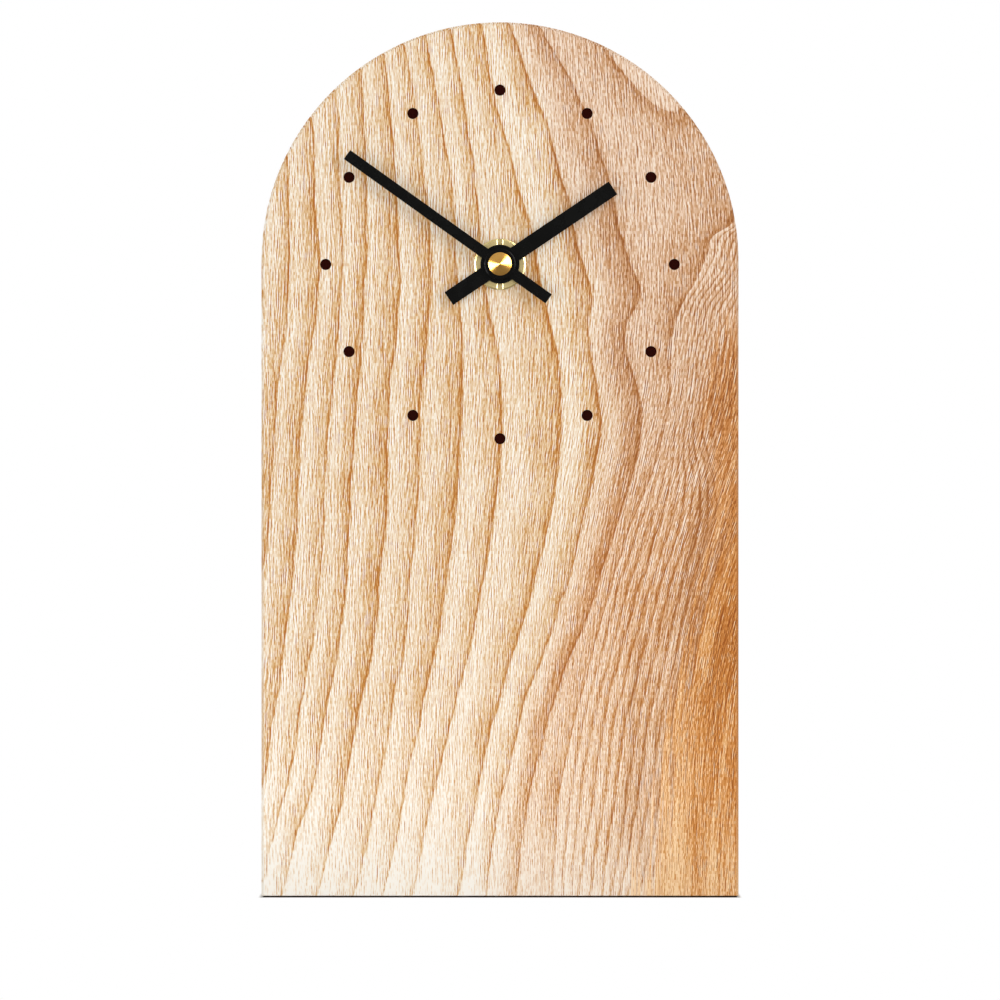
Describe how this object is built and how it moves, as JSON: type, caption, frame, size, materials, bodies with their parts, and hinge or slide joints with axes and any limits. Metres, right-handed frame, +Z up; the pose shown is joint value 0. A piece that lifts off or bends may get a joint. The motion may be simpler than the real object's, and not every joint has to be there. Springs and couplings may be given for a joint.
{
  "type": "wooden desk clock",
  "caption": "Arched solid-wood desk clock with dowel hour marks, bar hands and a battery quartz movement set into its back.",
  "frame": {"origin": "middle of the resting face, at the base of the wooden body", "axes": "+Z up, the dial looks towards -Y, +X to the right for someone who looks at the dial"},
  "size_m": [0.13, 0.0456, 0.2385],
  "materials": {
    "wood": "sanded and oiled, satin",
    "dark_wood": "sanded flush with the face",
    "brass": "turned and polished",
    "black_hand": "matt black enamel on sheet metal",
    "black_plastic": "moulded, fine texture",
    "rubber": "matt",
    "gear_plastic": "moulded acetal",
    "steel": "plain",
    "magnet": "pressed ferrite",
    "copper": "enamelled copper wire",
    "board": "laminate with solder mask",
    "resin": "cast resin",
    "battery": "steel can in a printed sleeve"
  },
  "bodies": {
    "clock": {"wood_body": "wood", "hour_peg_01": "dark_wood", "hour_peg_02": "dark_wood", "hour_peg_03": "dark_wood", "hour_peg_04": "dark_wood", "hour_peg_05": "dark_wood", "hour_peg_06": "dark_wood", "hour_peg_07": "dark_wood", "hour_peg_08": "dark_wood", "hour_peg_09": "dark_wood", "hour_peg_10": "dark_wood", "hour_peg_11": "dark_wood", "hour_peg_12": "dark_wood", "gasket": "rubber", "threaded_bush": "brass", "mounting_nut": "brass", "movement_case": "black_plastic", "movement_cover": "black_plastic", "train_bridge": "gear_plastic", "stator": "steel", "coil_core": "steel", "coil_bobbin": "gear_plastic", "coil_winding": "copper", "circuit_board": "board", "chip_cap": "resin", "quartz_crystal": "steel", "contact_positive": "brass", "contact_negative": "brass"},
    "minute": {"minute_tube": "brass", "minute_hand": "black_hand", "cap_nut": "brass", "clutch_washer": "steel"},
    "hour": {"hour_wheel": "gear_plastic", "hour_hand": "black_hand"},
    "motion": {"motion_wheel": "gear_plastic"},
    "setting": {"setting_pinion": "gear_plastic", "set_knob": "black_plastic"},
    "minute_drive": {"minute_wheel": "gear_plastic"},
    "third": {"third_wheel": "gear_plastic"},
    "second": {"second_wheel": "gear_plastic", "second_arbor": "steel"},
    "intermediate": {"intermediate_wheel": "gear_plastic"},
    "rotor": {"rotor_pinion": "gear_plastic", "rotor_magnet": "magnet"},
    "cell": {"battery": "battery"}
  },
  "joints": [
    {"name": "minute_spin", "type": "hinge", "parent": "clock", "child": "minute", "pos_m": [0, 0, 0.1725], "axis": [0, 1, 0], "continuous": true},
    {"name": "hour_spin", "type": "hinge", "parent": "clock", "child": "hour", "pos_m": [0, 0, 0.1725], "axis": [0, 1, 0], "continuous": true},
    {"name": "motion_spin", "type": "hinge", "parent": "clock", "child": "motion", "pos_m": [0.00688, 0, 0.17732], "axis": [0, 1, 0], "continuous": true},
    {"name": "setting_spin", "type": "hinge", "parent": "clock", "child": "setting", "pos_m": [0.01416, 0, 0.18152], "axis": [0, 1, 0], "continuous": true},
    {"name": "second_spin", "type": "hinge", "parent": "clock", "child": "second", "pos_m": [0, 0, 0.1725], "axis": [0, 1, 0], "continuous": true},
    {"name": "third_spin", "type": "hinge", "parent": "clock", "child": "third", "pos_m": [-0.00935, 0, 0.17201], "axis": [0, 1, 0], "continuous": true},
    {"name": "minute_drive_spin", "type": "hinge", "parent": "clock", "child": "minute_drive", "pos_m": [0, 0, 0.1725], "axis": [0, 1, 0], "continuous": true},
    {"name": "intermediate_spin", "type": "hinge", "parent": "clock", "child": "intermediate", "pos_m": [-0.00326, 0, 0.18145], "axis": [0, 1, 0], "continuous": true},
    {"name": "rotor_spin", "type": "hinge", "parent": "clock", "child": "rotor", "pos_m": [-0.00889, 0, 0.1835], "axis": [0, 1, 0], "continuous": true},
    {"name": "battery_out", "type": "slide", "parent": "clock", "child": "cell", "axis": [0, 1, 0], "range_m": [0, 0.03]}
  ],
  "couplings": [
    {"joint": "hour_spin", "follows": "minute_spin", "ratio": 0.083333},
    {"joint": "motion_spin", "follows": "minute_spin", "ratio": -0.33333},
    {"joint": "setting_spin", "follows": "minute_spin", "ratio": 1},
    {"joint": "third_spin", "follows": "second_spin", "ratio": -0.13333},
    {"joint": "minute_drive_spin", "follows": "second_spin", "ratio": 0.016667},
    {"joint": "intermediate_spin", "follows": "second_spin", "ratio": -6},
    {"joint": "rotor_spin", "follows": "second_spin", "ratio": 30}
  ]
}
